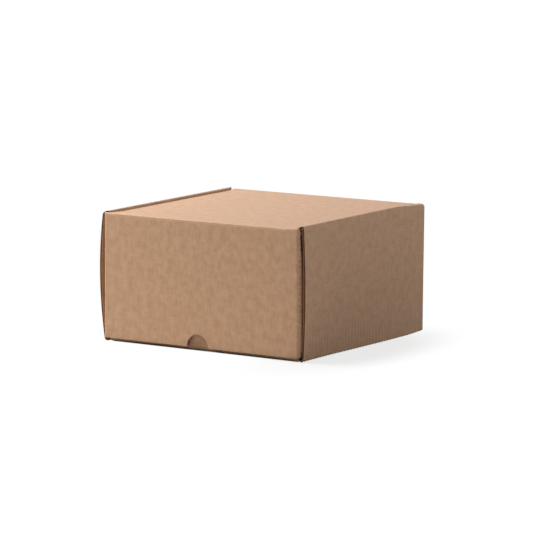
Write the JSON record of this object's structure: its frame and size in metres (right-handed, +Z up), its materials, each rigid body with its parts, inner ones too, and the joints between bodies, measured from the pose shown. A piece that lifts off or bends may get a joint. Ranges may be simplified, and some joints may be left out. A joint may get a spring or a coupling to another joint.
{
  "type": "closed cardboard box",
  "caption": "Closed mailer box of brown corrugated board, with rolled side walls, a hinged lid and a front flap whose ears tuck into the sides.",
  "frame": {"origin": "middle of the bottom panel, on the surface that the box stands on", "axes": "+X to the right seen from the front, the front panel faces -Y, +Z up"},
  "size_m": [0.2788, 0.252, 0.1499],
  "materials": {
    "kraft_board": "matt brown kraft liner on corrugated board"
  },
  "bodies": {
    "tray": {"tray": "kraft_board"},
    "lid": {"lid": "kraft_board"},
    "front_flap": {"front_flap": "kraft_board"}
  },
  "joints": [
    {"name": "lid_crease", "type": "hinge", "parent": "tray", "child": "lid", "pos_m": [0, 0.12405, 0.14535], "axis": [-1, 0, 0], "range_deg": [0, 180]},
    {"name": "front_flap_crease", "type": "hinge", "parent": "lid", "child": "front_flap", "pos_m": [0, -0.12405, 0.14535], "axis": [-1, 0, 0], "range_deg": [0, 180]}
  ]
}
